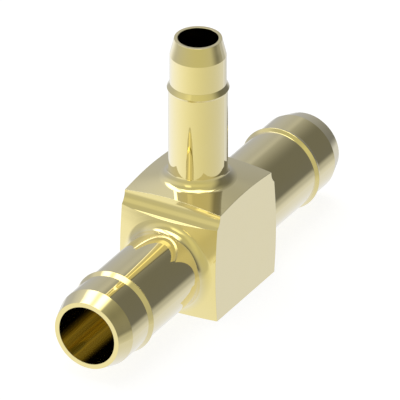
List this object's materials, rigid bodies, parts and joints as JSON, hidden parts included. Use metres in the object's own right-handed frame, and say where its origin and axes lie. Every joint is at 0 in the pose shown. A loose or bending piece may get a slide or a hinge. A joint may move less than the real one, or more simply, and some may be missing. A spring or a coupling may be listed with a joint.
{
  "type": "hose barb tee",
  "caption": "One-piece brass reducing tee with a barbed hose end on each leg, a wider straight run and a narrower branch, bored right through.",
  "frame": {"origin": "where the axis of the run's bore and the axis of the branch's bore cross", "axes": "+Y along the run, +Z along the branch towards its tip, +X out of one of the two flat sawn sides"},
  "size_m": [0.0126, 0.0516, 0.0325],
  "materials": {
    "brass": "bright turned brass"
  },
  "bodies": {
    "root": {"tee_body": "brass"}
  },
  "joints": []
}
